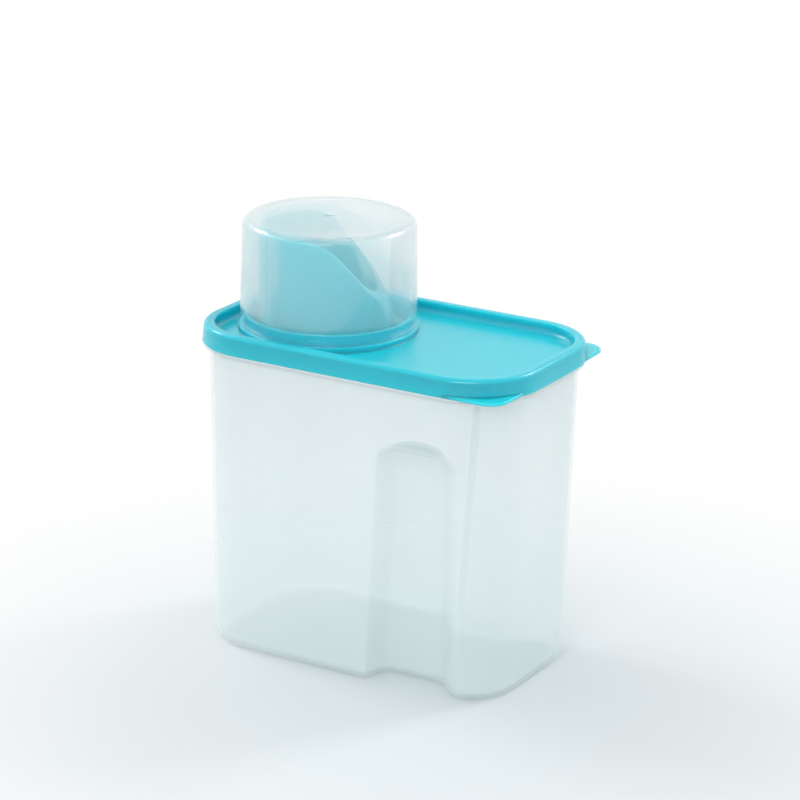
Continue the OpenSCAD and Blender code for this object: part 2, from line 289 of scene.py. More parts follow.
@dataclass(frozen=True)
class GripRecess:
    """Finger recess in the front and back wall, open at the base and closed by a ledge above."""

    height: float = 116.0
    depth: float = 14.2
    depth_gain: float = 1.1
    far_x: float = 62.3
    width: float = 46.8
    near_lean: float = 5.8
    near_run: float = 4.3
    far_run: float = 14.6
    near_fillet: float = 6.3
    far_fillet: float = 7.4
    shoulder: float = 12.0
    near_top_radius: float = 6.0
    far_top_radius: float = 10.0
    ledge_fillet: float = 2.5
    ledge_edge: float = 1.0
    ledge_slope: float = 0.3
    edge_radius: float = 0.9

    @staticmethod
    def corner_shift(z: np.ndarray, radius: np.ndarray, top: np.ndarray) -> np.ndarray:
        """How far a rounded upper corner has moved in at height z: r - sqrt(r^2 - rise^2)."""
        rise = np.clip(np.minimum(z, top) - top + radius, 0.0, None)
        return radius - np.sqrt(np.clip(radius**2 - rise**2, 0.0, None))

    def section(self, z: np.ndarray, inset: np.ndarray) -> np.ndarray:
        """Section of the recess as (x, depth) points at each height.

        Steep wall, floor and slanted wall are straight lines with arcs between them. A wall that is
        moved by inset into the bin shifts along x by inset * tan(half its angle).

        Args:
            z: Heights, shape (rows,).
            inset: Distances into the bin's wall, shape (rows,).

        Returns:
            Points of shape (rows, points, 2).
        """
        top = self.height + inset
        share = np.minimum(z, top) / self.height
        depth = self.depth + self.depth_gain * share
        near_angle, far_angle = np.arctan2(depth, self.near_run), np.arctan2(depth, self.far_run)
        near = self.far_x - self.width + self.near_lean * share - inset * np.tan(near_angle / 2.0)
        near = near + self.corner_shift(z, self.near_top_radius + inset, top)
        far = self.far_x + inset * np.tan(far_angle / 2.0)
        far = far - self.corner_shift(z, self.far_top_radius + inset, top)
        none = np.zeros_like(z)
        path = [
            np.column_stack([near - self.near_run, none]),
            np.column_stack([near, none]),
            np.column_stack([near + self.near_run, depth]),
            np.column_stack([far - self.far_run, depth]),
            np.column_stack([far, none]),
            np.column_stack([far + self.far_run, none]),
        ]
        radii = (
            np.maximum(self.edge_radius - inset, 0.3),
            self.near_fillet + inset,
            self.far_fillet + inset,
            np.maximum(self.shoulder - inset, 1.0),
        )
        counts = (5, 16, 12, 16)
        arcs = [rounded_corner(*path[i : i + 3], radii[i], counts[i]) for i in range(4)]
        parts = [arcs[0]]
        for before, after, inner in zip(arcs[:-1], arcs[1:], (3, 8, 4)):
            parts += [between(before[:, -1], after[:, 0], inner), after]
        return np.concatenate(parts, axis=1)

    def ledge_rows(self, inset: float) -> np.ndarray:
        """Rows of (height, share of the depth) that close the recess, from below the ledge up.

        Args:
            inset: Distance into the bin's wall.

        Returns:
            An array of shape (rows, 2).
        """
        top, depth = self.height + inset, self.depth + self.depth_gain
        fillet, radius = self.ledge_fillet + inset, self.far_top_radius + inset
        t = np.radians(np.linspace(0.0, 90.0, 9))
        rise = top - self.ledge_slope - fillet * (1 - np.sin(t))
        curve = np.column_stack([rise, 1 - fillet * (1 - np.cos(t)) / depth])
        below = spaced(top - radius, curve[0, 0], 9)[:-1]
        edge = self.ledge_edge / depth
        e = np.radians(np.linspace(0.0, 90.0, 6))
        above = np.column_stack([top + self.ledge_edge * (1 - np.cos(e)), edge * (1 - np.sin(e))])
        across = np.linspace(curve[-1], (top, edge), 5)[1:-1]
        return np.concatenate([columns(below, 1.0), curve, across, above])


@dataclass(frozen=True)
class StorageBin:
    """Frosted bin: drafted walls, a grip recess front and back, flange and neck."""

    half_x: float = 80.0
    half_y: float = 46.9
    height: float = 146.5
    draft: float = 2.5
    corner: float = 27.6
    corner_growth: float = 1.3
    base_edge: float = 5.0
    wall: float = 1.5
    floor: float = 1.6
    flange: float = 2.0
    flange_reach: float = 2.9
    neck_step: float = 1.4
    neck: float = 1.6
    neck_slope: float = 3.5
    neck_top: float = 152.8
    recess: GripRecess = GripRecess()

    def top_outline(self) -> Outline:
        """Outline of the bin's wall at its flange, which the lid follows."""
        corner = self.corner + self.corner_growth
        return Outline(self.half_x + self.draft, self.half_y + self.draft, corner)

    def rings(self, rows: np.ndarray) -> np.ndarray:
        """Rings of the bin, one for each row.

        The front half is a corner arc, a straight stretch, the recess and a corner arc. The back
        half is its mirror image. The recess's depth is measured inwards from the plain wall.

        Args:
            rows: Height, inset from the outer face and share of the recess's depth, (rows, 3).

        Returns:
            Points of shape (rows, points around, 3).
        """
        z, inset, share = rows.T
        up = np.minimum(z, self.height) / self.height
        r = self.corner + self.corner_growth * up - inset
        cx = self.half_x + self.draft * up - inset - r
        cy = self.half_y + self.draft * up - inset - r
        t = np.linspace(0.0, np.pi / 2.0, 28)
        cx, cy, r = cx[:, None], cy[:, None], r[:, None]
        left = np.stack([-cx - r * np.cos(t), -cy - r * np.sin(t)], axis=2)
        section = self.recess.section(z, inset)
        x = section[..., 0]
        drop = np.where(x > cx, np.sqrt(np.clip(r**2 - (x - cx) ** 2, 0, None)), r)
        front = np.stack([x, share[:, None] * section[..., 1] - cy - drop], axis=2)
        last = np.arccos(np.clip((x[:, -1:] - cx) / r, -1.0, 1.0)) * np.linspace(1.0, 0.0, 20)[1:]
        right = np.stack([cx + r * np.cos(last), -cy - r * np.sin(last)], axis=2)
        half = np.concatenate([left, between(left[:, -1], front[:, 0], 14), front, right], axis=1)
        back = half[:, ::-1] * np.array([1.0, -1.0])
        sides = between(half[:, -1], back[:, 0], 8)
        ends = between(back[:, -1], half[:, 0], 8)
        middle = sides.shape[1] // 2
        ring = np.concatenate([ends[:, middle:], half, sides, back, ends[:, :middle]], axis=1)
        return at_height(self.top_outline().bowed(ring), z)

    def outer_rows(self) -> np.ndarray:
        """Rows up the outside, from the middle of the underside to below the flange.

        Returns:
            Height, inset from the outer face and share of the recess's depth, (rows, 3).
        """
        t = np.radians(np.linspace(0.0, 90.0, 13))
        edge = self.base_edge
        base = columns(edge * (1 - np.cos(t)), edge * (1 - np.sin(t)), 1.0)
        ledge = self.recess.ledge_rows(0.0)
        walls = spaced(edge, ledge[0, 0], 24)[1:-1]
        upper = spaced(ledge[-1, 0], self.height - self.flange, 14)[1:]
        return np.concatenate(
            [
                [[0.0, edge + 0.8, 1.0], [0.0, edge + 0.3, 1.0]],
                base,
                columns(walls, 0.0, 1.0),
                columns(ledge[:, 0], 0.0, ledge[:, 1]),
                columns(upper, 0.0, 0.0),
            ]
        )

    def rim_rows(self) -> np.ndarray:
        """Rows round the flange and the neck, with small radii on their edges.

        Returns:
            Height, inset from the outer face and share of the recess's depth, (rows, 3).
        """
        low, reach, top = self.height - self.flange, self.flange_reach, self.height
        inner = self.neck_step - self.neck
        edge = 0.4
        lip = self.neck / 2.0
        path = np.concatenate(
            [
                [[0.15, low], [0.4, low], [reach - edge - 0.2, low]],
                arc((reach - edge, low + edge), edge, -90.0, 0.0, 6),
                arc((reach - edge, top - edge), edge, 0.0, 90.0, 6),
                [[reach - edge - 0.2, top], [self.neck_step + 0.3, top]],
                [[self.neck_step, top + 0.3], [self.neck_step, top + 1.0]],
                [[self.neck_step, self.neck_top - lip - 0.4]],
                arc((self.neck_step - lip, self.neck_top - lip), lip, 0.0, 180.0, 13),
                [[inner, self.neck_top - lip - 0.4], [inner, top - 0.5 * self.flange]],
            ]
        )
        slope = np.linspace(0.0, 1.0, 9)[1:]
        blend = inner + (-self.wall - inner) * (3 * slope**2 - 2 * slope**3)
        drop = top - 0.5 * self.flange - self.neck_slope * slope
        path = np.concatenate([path, np.column_stack([blend, drop])])
        return columns(path[:, 1], -path[:, 0], 0.0)

    def inner_rows(self) -> np.ndarray:
        """Rows down the inside, from below the neck to the floor.

        Returns:
            Height, inset from the outer face and share of the recess's depth, (rows, 3).
        """
        fillet = self.base_edge - self.wall
        ledge = self.recess.ledge_rows(self.wall)[::-1]
        top = self.height - 0.5 * self.flange - self.neck_slope
        upper = spaced(top, ledge[0, 0], 12)[1:-1]
        low = self.floor + fillet
        walls = spaced(ledge[-1, 0], low, 24)[1:-1]
        t = np.radians(np.linspace(90.0, 0.0, 10))
        rise, inset = self.floor + fillet * (1 - np.cos(t)), self.wall + fillet * (1 - np.sin(t))
        return np.concatenate(
            [
                columns(upper, self.wall, 0.0),
                columns(ledge[:, 0], self.wall, ledge[:, 1]),
                columns(walls, self.wall, 1.0),
                columns(rise, inset, 1.0),
                [[self.floor, self.base_edge + 0.3, 1.0], [self.floor, self.base_edge + 0.8, 1.0]],
            ]
        )

    def build(self) -> bpy.types.Object:
        """Makes the bin as one closed wall and stands it for its solid.

        Returns:
            The piece.
        """
        rows = np.concatenate([self.outer_rows(), self.rim_rows(), self.inner_rows()])
        bin_wall = grid_object("frosted_bin", self.rings(rows), Ends.LADDER)
        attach(bin_wall, Body.BOX.value)
        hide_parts("storage_box")
        return bin_wall


@dataclass(frozen=True)
class Lid:
    """Blue lid: channelled rim, sunken panel, two lifting tabs, collar and pouring spout."""

    outline: Outline
    axis_x: float = -35.1
    flange_top: float = 146.5
    rim_top: float = 155.8
    panel_top: float = 150.5
    plate: float = 1.8
    skirt_inner: float = 1.75
    skirt_outer: float = 3.6
    skirt_draft: float = 0.7
    plug_outer: float = -0.55
    plug_inner: float = -2.3
    rim_edge: float = 2.15
    rim_inner_edge: float = 1.0
    panel_fillet: float = 3.0
    tab: float = 1.5
    tab_corner: float = 9.0
    tab_inset: float = 1.3
    collar_radius: float = 39.3
    collar_wall: float = 1.6
    collar_top: float = 158.4
    seat_top: float = 153.1
    seat_radius: float = 41.6
    spout_radius: float = 32.45
    spout_wall: float = 2.0
    spout_top: float = 199.2
    spout_turn: float = 31.0
    cut_slope: float = 1.22
    cut_bend: float = 1.1
    cut_softness: float = 3.48
    face_radius: float = 119.0
    face_start: float = 33.0
    face_lean: float = 23.3

    def rim_profile(self) -> np.ndarray:
        """Profile of the rim as (distance outside the outline, height), from panel to underside.

        Returns:
            An array of shape (points, 2).
        """
        edge = (self.skirt_outer - self.skirt_draft - self.rim_edge, self.rim_top - self.rim_edge)
        inner = (self.plug_inner + self.rim_inner_edge, self.rim_top - self.rim_inner_edge)
        fillet = (self.plug_inner - self.panel_fillet, self.panel_top + self.panel_fillet)
        small = 0.3
        low, roof = self.panel_top - self.plate, self.rim_top - self.plate
        skirt, plug, flange = self.skirt_inner, self.plug_outer, self.flange_top
        return np.concatenate(
            [
                [[fillet[0] - 1.0, self.panel_top], [fillet[0] - 0.4, self.panel_top]],
                arc(fillet, self.panel_fillet, -90.0, 0.0, 14),
                arc(inner, self.rim_inner_edge, 180.0, 90.0, 8),
                [[inner[0] + 0.3, self.rim_top], [edge[0] - 0.3, self.rim_top]],
                arc(edge, self.rim_edge, 90.0, 4.0, 14),
                [[self.skirt_outer - 0.1, flange + 1.2]],
                arc((self.skirt_outer - small, flange + small), small, 0.0, -90.0, 5),
                [[skirt + 0.2, flange], [skirt, flange + 0.2]],
                [[skirt, roof - 0.4], [skirt - 0.4, roof]],
                [[plug + 0.4, roof], [plug, roof - 0.4]],
                [[plug, low + 0.3], [plug - 0.3, low], [fillet[0] - 1.0, low]],
            ]
        )

    def body_rings(self) -> np.ndarray:
        """Rings of panel and rim: straight out from the spout's bore, then the rim's profile.

        Returns:
            Points of shape (rings, points around, 3).
        """
        profile = self.rim_profile()
        rim = self.outline.rings(profile[:, 0], profile[:, 1])
        edge, axis = rim[0], np.array([self.axis_x, 0.0])
        away = edge[:, :2] - axis
        radius = self.spout_radius - self.spout_wall / 2.0
        bore = axis + radius * away / np.linalg.norm(away, axis=1)[:, None]
        share = spaced(0.0, 1.0, 16)[:-1, None, None]
        plan = bore + (edge[:, :2] - bore) * share
        bottom = at_height(plan[::-1], self.panel_top - self.plate)
        return np.concatenate([at_height(plan, self.panel_top), rim, bottom])

    def tab_rings(self) -> np.ndarray:
        """Rings of the tab at the back corner, each a closed line from skirt to tip and back below.

        The tip follows the corner of the lid's bounding rectangle. The root lies inside the skirt.

        Returns:
            Points of shape (stations along the tab, points around its section, 3).
        """
        outline = self.outline
        radius = outline.corner + self.skirt_outer
        cx, cy = outline.half_x - outline.corner, outline.half_y - outline.corner
        x_end, y_end = cx + radius - self.tab_inset, cy + radius
        turn = math.acos((x_end - cx) / radius)
        centre = x_end - self.tab_corner, y_end - self.tab_corner
        corner = arc(centre, self.tab_corner, 0.0, 90.0, 24)
        start, stop = np.array([x_end, cy + radius * math.sin(turn)]), np.array([cx + 3.0, y_end])
        tip = np.concatenate(
            [spaced(start, corner[0], 14).T[:-1], corner, spaced(corner[-1], stop, 18).T[1:]]
        )
        direction = np.arctan2(tip[:, 1] - cy, tip[:, 0] - cx)
        away = np.stack([np.cos(direction), np.sin(direction)], axis=1)
        root = np.array([cx, cy]) + (radius - 0.8) * away
        reach = np.linalg.norm(tip - root, axis=1)
        half = self.tab / 2.0
        bend = np.radians(np.linspace(90.0, -90.0, 11))
        inward = np.minimum(half, reach / 2.0)
        edge_along = reach[:, None] - inward[:, None] * (1 - np.cos(bend))
        rise = self.flange_top + half + half * np.sin(bend)
        edge_height = np.broadcast_to(rise, edge_along.shape)
        flat = np.array([0.0, 0.4, 0.8, 0.97])
        above, below = flat * edge_along[:, :1], (flat * edge_along[:, -1:])[:, ::-1]
        along = np.concatenate([above, edge_along, below], axis=1)
        upper = np.full(above.shape, self.flange_top + self.tab)
        lower = np.full(below.shape, self.flange_top)
        height = np.concatenate([upper, edge_height, lower], axis=1)
        plan = root[:, None] + away[:, None] * along[..., None]
        return np.concatenate([outline.bowed(plan), height[..., None]], axis=2)

    def collar_profile(self) -> np.ndarray:
        """Closed profile of the collar and the cup's seat as (radius, height).

        Returns:
            An array of shape (points, 2).
        """
        inner = self.collar_radius - self.collar_wall
        foot, outer = self.panel_top - 0.8, self.seat_radius + 0.5
        edge, lip = 0.5, 0.35
        return np.concatenate(
            [
                [[inner, foot], [outer, foot], [outer, self.panel_top]],
                arc((outer, self.panel_top + 0.5), 0.5, -90.0, -180.0, 5),
                arc((self.seat_radius - lip, self.seat_top - lip), lip, 0.0, 90.0, 5),
                [[self.collar_radius + 0.5, self.seat_top]],
                arc((self.collar_radius + 0.4, self.seat_top + 0.4), 0.4, -90.0, -180.0, 5),
                [[self.collar_radius, self.collar_top - edge - 0.3]],
                arc((self.collar_radius - edge, self.collar_top - edge), edge, 0.0, 90.0, 6),
                arc((inner + edge, self.collar_top - edge), edge, 90.0, 180.0, 6),
                [[inner, self.collar_top - edge - 0.3], [inner, self.panel_top + 0.6]],
            ]
        )

    def lip_height(self, s: np.ndarray) -> np.ndarray:
        """Height of the spout's lip at distance s from the axis towards the low side.

        It is level on the high side and falls steadily on the low side: top minus slope times
        softness times ln(1 + exp((s + bend) / softness)).

        Args:
            s: Distances.

        Returns:
            Heights of the same shape.
        """
        soft = self.cut_softness
        drop = self.cut_slope * soft * np.logaddexp(0.0, (s + self.cut_bend) / soft)
        return self.spout_top - drop

    def spout_reach(self, delta: np.ndarray, z: np.ndarray, inset: float) -> np.ndarray:
        """Distance from the axis to the spout's face.

        A round tube, smoothly met by a wide cylinder on the low side that leans in with height. The
        smaller of the two distances is rounded off by w ln(exp(-a/w) + exp(-b/w)).

        Args:
            delta: Angles from the low side, in radians.
            z: Heights, of a matching shape.
            inset: Distance in from the outer face.

        Returns:
            Distances of the same shape.
        """
        tube = self.spout_radius - inset
        wide = self.face_radius - inset
        lean = math.tan(math.radians(self.face_lean))
        nearest = self.face_start - inset - lean * (z - self.panel_top)
        back = nearest - wide
        face = back * np.cos(delta) + np.sqrt(wide**2 - (back * np.sin(delta)) ** 2)
        width = 0.35
        return -width * np.logaddexp(-tube / width, -face / width)

    def spout_rings(self) -> np.ndarray:
        """Rings of the spout, from its foot up the outside, over the lip and down the inside.

        Returns:
            Points of shape (rings, points around, 3).
        """
        theta = np.linspace(0.0, 2.0 * np.pi, SPOUT_POINTS, endpoint=False)
        delta = theta - math.radians(self.spout_turn)

        def lip(inset: float) -> np.ndarray:
            """Height at which a face of the spout meets the cut, found by repeated substitution.

            Args:
                inset: Distance of that face from the outer one.

            Returns:
                One height for each angle.
            """
            z = np.full(SPOUT_POINTS, self.spout_top)
            for _ in range(60):
                meeting = self.spout_reach(delta, z, inset) * np.cos(delta)
                z = 0.5 * z + 0.5 * self.lip_height(meeting)
            return z

        outer, inner = lip(0.0), lip(self.spout_wall)
        foot = self.panel_top - self.plate
        round_off = 0.55
        up = spaced(0.0, 1.0, 46)[:, None]
        z_out = foot + (outer - round_off - foot) * up
        r_out = self.spout_reach(delta, z_out, 0.0)
        z_in = foot + (inner - round_off - foot) * up[::-1]
        r_in = self.spout_reach(delta, z_in, self.spout_wall)
        corner_out = np.stack([self.spout_reach(delta, outer, 0.0), outer])
        corner_in = np.stack([self.spout_reach(delta, inner, self.spout_wall), inner])
        across = (corner_in - corner_out) / np.linalg.norm(corner_in - corner_out, axis=0)
        rise_out = np.stack([r_out[-1], z_out[-1]])
        rise_in = np.stack([r_in[0], z_in[0]])
        t = np.linspace(0.0, 1.0, 7)[1:, None, None]
        near_out, near_in = corner_out + round_off * across, corner_in - round_off * across
        first = (1 - t) ** 2 * rise_out + 2 * t * (1 - t) * corner_out + t**2 * near_out
        second = (1 - t) ** 2 * near_in + 2 * t * (1 - t) * corner_in + t**2 * rise_in
        bends = np.concatenate([first, near_in[None], second[:-1]])
        radius = np.concatenate([r_out, bends[:, 0], r_in])
        height = np.concatenate([z_out, bends[:, 1], z_in])
        x, y = self.axis_x + radius * np.cos(theta), radius * np.sin(theta)
        return np.stack([x, y, height], axis=2)

    def build(self) -> list[bpy.types.Object]:
        """Makes the lid's pieces, which all ride on the lid and stand for its solid.

        Returns:
            The pieces.
        """
        tab = self.tab_rings()
        pieces = [
            grid_object("lid_panel_and_rim", self.body_rings(), Ends.LOOP),
            grid_object("lid_tab_back", tab, Ends.CAPS),
            grid_object("lid_tab_front", tab * np.array([1.0, -1.0, 1.0]), Ends.CAPS),
            revolved("spout_collar", self.collar_profile(), self.axis_x, COLLAR_POINTS, Ends.LOOP),
            grid_object("pouring_spout", self.spout_rings(), Ends.LOOP),
        ]
        for piece in pieces:
            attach(piece, Body.LID.value)
            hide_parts("lid")
        return pieces


@dataclass(frozen=True)
class MeasuringCup:
    """Clear cup that stands upside down on the lid's seat, over the spout."""

    axis_x: float = -35.1
    seat: float = 153.1
    top: float = 203.7
    top_radius: float = 40.35
    low_radius: float = 41.3
    mouth_radius: float = 42.8
    flare_top: float = 160.0
    lip: float = 1.6
    wall: float = 1.3
    edge: float = 4.0
    gate_radius: float = 2.4
    gate_depth: float = 0.4

    def profile(self) -> np.ndarray:
        """Profile from the axis over crown, side wall, flare and lip, and back up inside.

        Returns:
            Points of (radius, height), shape (points, 2).
        """
        crown = (self.top_radius - self.edge, self.top - self.edge)
        lip_top = self.seat + self.lip
        t = np.radians(np.linspace(0.0, 90.0, 12))
        flare = np.column_stack(
            [
                self.low_radius + (self.mouth_radius - self.low_radius) * (1 - np.cos(t)),
                self.flare_top + (lip_top - self.flare_top) * np.sin(t),
            ]
        )
        radii = spaced(self.top_radius, self.low_radius, 16)
        side = np.column_stack([radii, spaced(crown[1], self.flare_top, 16)])[1:-1]
        gate = np.linspace(0.0, 1.0, 7)
        rise = self.top - self.gate_depth * (1 - 3 * gate**2 + 2 * gate**3)
        dip = np.column_stack([self.gate_radius + 0.8 * gate, rise])
        crown_line = spaced(self.gate_radius + 0.8, crown[0], 12)[1:-1]
        small = 0.35
        outside = np.concatenate(
            [
                [[0.0, rise[0]], [self.gate_radius - 0.3, rise[0]]],
                dip,
                columns(crown_line, self.top),
                arc(crown, self.edge, 90.0, 0.0, 18),
                side,
                flare,
                [[self.mouth_radius, self.seat + 0.6]],
                arc((self.mouth_radius - small, self.seat + small), small, 0.0, -90.0, 6),
            ]
        )
        inner_edge = self.edge - self.wall
        mouth = self.mouth_radius - self.wall
        inside = np.concatenate(
            [
                [[mouth, self.seat], [mouth, self.seat + 0.3]],
                flare[::-1][1:] - [self.wall, 0.0],
                side[::-1] - [self.wall, 0.0],
                arc(crown, inner_edge, 0.0, 90.0, 14),
                columns(spaced(crown[0], 0.0, 11)[1:], self.top - self.wall),
            ]
        )
        return np.concatenate([outside, inside])

    def build(self) -> bpy.types.Object:
        """Makes the cup and stands it for its solid.

        Returns:
            The piece.
        """
        cup = revolved(
            "measuring_cup_clear", self.profile(), self.axis_x, CUP_POINTS, Ends.POLE
        )
        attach(cup, Body.CUP.value)
        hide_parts("measuring_cup")
        return cup


def map_range(
    tree: bpy.types.NodeTree,
    value: bpy.types.NodeSocket,
    span: tuple[float, float],
    result: tuple[float, float],
    kind: str = "LINEAR",
) -> bpy.types.NodeSocket:
    """Carries a value from one span to another with a Map Range node.

    Args:
        tree: The node tree.
        value: The value.
        span: Values at the ends of the first span.
        result: What the node gives there.
        kind: How it goes from one end to the other.

    Returns:
        The node's output.
    """
    node = tree.nodes.new("ShaderNodeMapRange")
    node.interpolation_type = kind
    node.inputs["From Min"].default_value, node.inputs["From Max"].default_value = span
    node.inputs["To Min"].default_value, node.inputs["To Max"].default_value = result
    tree.links.new(value, node.inputs["Value"])
    return node.outputs["Result"]


def maths(
    tree: bpy.types.NodeTree,
    operation: str,
    first: bpy.types.NodeSocket,
    second: bpy.types.NodeSocket | float,
) -> bpy.types.NodeSocket:
    """Output of a Math node on a socket and a second socket or number.

    Args:
        tree: The node tree.
        operation: What the node works out.
        first: Its first input.
        second: What its second input is linked or set to.

    Returns:
        The node's output.
    """
    node = tree.nodes.new("ShaderNodeMath")
    node.operation = operation
    tree.links.new(first, node.inputs[0])
    if isinstance(second, bpy.types.NodeSocket):
        tree.links.new(second, node.inputs[1])
    else:
        node.inputs[1].default_value = second
    return node.outputs["Value"]


def moulded_surface() -> bpy.types.NodeTree:
    """Shader group for moulded plastic: fine grain, slow waviness, patchy haze and light scuffs.

    Returns:
        A node tree with input Scuffs and outputs Haze, Tone and Relief.
    """
    tree = bpy.data.node_groups.new("Moulded Surface", "ShaderNodeTree")
    tree.interface.new_socket("Scuffs", in_out="INPUT", socket_type="NodeSocketFloat")
    for label in ("Haze", "Tone", "Relief"):
        tree.interface.new_socket(label, in_out="OUTPUT", socket_type="NodeSocketFloat")
    nodes, links = tree.nodes, tree.links
    start, end = nodes.new("NodeGroupInput"), nodes.new("NodeGroupOutput")
    place = nodes.new("ShaderNodeTexCoord").outputs["Object"]

    def noise(
        where: bpy.types.NodeSocket, scale: float, detail: float, roughness: float
    ) -> bpy.types.NodeSocket:
        """Noise texture on the given coordinates.

        Args:
            where: The coordinates.
            scale: Its scale, in waves per metre.
            detail: Number of finer layers.
            roughness: Their strength.

        Returns:
            Its value.
        """
        made = nodes.new("ShaderNodeTexNoise")
        for label, value in (("Scale", scale), ("Detail", detail), ("Roughness", roughness)):
            made.inputs[label].default_value = value
        links.new(where, made.inputs["Vector"])
        return made.outputs["Fac"]

    grain, wave = noise(place, GRAIN_SCALE, 2.0, 0.5), noise(place, WAVE_SCALE, 1.5, 0.4)
    stretch = nodes.new("ShaderNodeMapping")
    stretch.inputs["Scale"].default_value = (0.06, 1.0, 1.0)
    stretch.inputs["Rotation"].default_value = (0.35, 0.2, 0.5)
    links.new(place, stretch.inputs["Vector"])
    scratch = noise(stretch.outputs["Vector"], SCUFF_SCALE, 3.0, 0.5)
    thin = map_range(tree, scratch, (0.68, 0.76), (0.0, 1.0))
    scuff = maths(tree, "MULTIPLY", thin, start.outputs["Scuffs"])

    def blend(wave_share: float, grain_share: float) -> bpy.types.NodeSocket:
        """Sum of the waviness and the grain, each times its share."""
        slow = maths(tree, "MULTIPLY", wave, wave_share)
        return maths(tree, "ADD", slow, maths(tree, "MULTIPLY", grain, grain_share))

    haze = maths(tree, "ADD", blend(0.7, 0.3), scuff)
    tone, relief = blend(0.8, 0.2), blend(1.0, 0.03)
    for label, socket in (("Haze", haze), ("Tone", tone), ("Relief", relief)):
        links.new(socket, end.inputs[label])
    return tree


@dataclass(frozen=True)
class Finish:
    """A moulded plastic: its colours and the plain values of its shader."""

    name: str
    dark: tuple[float, float, float]
    light: tuple[float, float, float]
    roughness: tuple[float, float]
    transmission: float = 0.0
    ior: float = 1.5
    coat: float = 0.0
    subsurface: float = 0.0
    subsurface_scale: float = 0.007
    subsurface_radius: tuple[float, float, float] = (1.0, 1.0, 1.0)
    scuffs: float = 0.0
    relief: float = 0.00004
    opacity: tuple[float, float] | None = None
    steepness: float = 3.0
    haze_heights: tuple[float, float] | None = None
    haze_share: tuple[float, float] = (1.0, 1.0)

    def material(self, surface: bpy.types.NodeTree) -> bpy.types.Material:
        """Builds the material around the shared moulded surface group.

        Args:
            surface: The shared shader group.

        Returns:
            The material.
        """
        made = bpy.data.materials.new(self.name)
        made.use_nodes = True
        nodes, links = made.node_tree.nodes, made.node_tree.links
        shader = nodes["Principled BSDF"]
        for label, value in (
            ("Transmission Weight", self.transmission),
            ("IOR", self.ior),
            ("Coat Weight", self.coat),
            ("Coat Roughness", COAT_ROUGHNESS),
            ("Subsurface Weight", self.subsurface),
            ("Subsurface Scale", self.subsurface_scale),
            ("Subsurface Radius", self.subsurface_radius),
        ):
            shader.inputs[label].default_value = value
        group = nodes.new("ShaderNodeGroup")
        group.node_tree = surface
        group.inputs["Scuffs"].default_value = self.scuffs
        tint = nodes.new("ShaderNodeMix")
        tint.data_type = "RGBA"
        tint.inputs["A"].default_value = (*self.dark, 1.0)
        tint.inputs["B"].default_value = (*self.light, 1.0)
        links.new(group.outputs["Tone"], tint.inputs["Factor"])
        links.new(tint.outputs["Result"], shader.inputs["Base Color"])
        gloss = map_range(made.node_tree, group.outputs["Haze"], (0.0, 1.0), self.roughness)
        links.new(gloss, shader.inputs["Roughness"])
        bump = nodes.new("ShaderNodeBump")
        bump.inputs["Distance"].default_value = self.relief
        links.new(group.outputs["Relief"], bump.inputs["Height"])
        links.new(bump.outputs["Normal"], shader.inputs["Normal"])
        if self.opacity is not None:
            links.new(self.density(made.node_tree, self.opacity), shader.inputs["Alpha"])
        return made

    def density(
        self, tree: bpy.types.NodeTree, opacity: tuple[float, float]
    ) -> bpy.types.NodeSocket:
        """How much of the light each surface stops, which is more where a wall is seen edge on.

        Args:
            tree: Node tree of the material.
            opacity: Opacity of a wall seen face on and of one seen edge on.

        Returns:
            The socket with the opacity.
        """
        facing = tree.nodes.new("ShaderNodeLayerWeight")
        facing.inputs["Blend"].default_value = 0.5
        steep = maths(tree, "POWER", facing.outputs["Facing"], self.steepness)
        dense = map_range(tree, steep, (0.0, 1.0), opacity)
        if self.haze_heights is None:
            return dense
        place, split = tree.nodes.new("ShaderNodeTexCoord"), tree.nodes.new("ShaderNodeSeparateXYZ")
        tree.links.new(place.outputs["Object"], split.inputs["Vector"])
        share = map_range(tree, split.outputs["Z"], self.haze_heights, self.haze_share)
        return maths(tree, "MULTIPLY", dense, share)


FROSTED = Finish(
    name="frosted polypropylene",
    dark=(0.78, 0.885, 0.895),
    light=(0.82, 0.915, 0.925),
    roughness=(0.15, 0.2),
    opacity=(0.28, 0.37),
)
SKY_BLUE = Finish(
    name="sky blue polypropylene",
    dark=(0.010, 0.455, 0.575),
    light=(0.012, 0.485, 0.605),
    roughness=(0.22, 0.28),
    subsurface=1.0,
    subsurface_radius=(0.2, 1.3, 1.0),
    scuffs=0.1,
)
CLEAR = Finish(
    name="clear polypropylene",
    dark=(0.87, 0.945, 0.95),
    light=(0.89, 0.96, 0.965),
    roughness=(0.20, 0.24),
    ior=1.35,
    transmission=0.74,
    coat=0.8,
    opacity=(0.48, 0.95),
    steepness=3.5,
    haze_heights=(0.1578, 0.1612),
    haze_share=(0.12, 1.0),
)


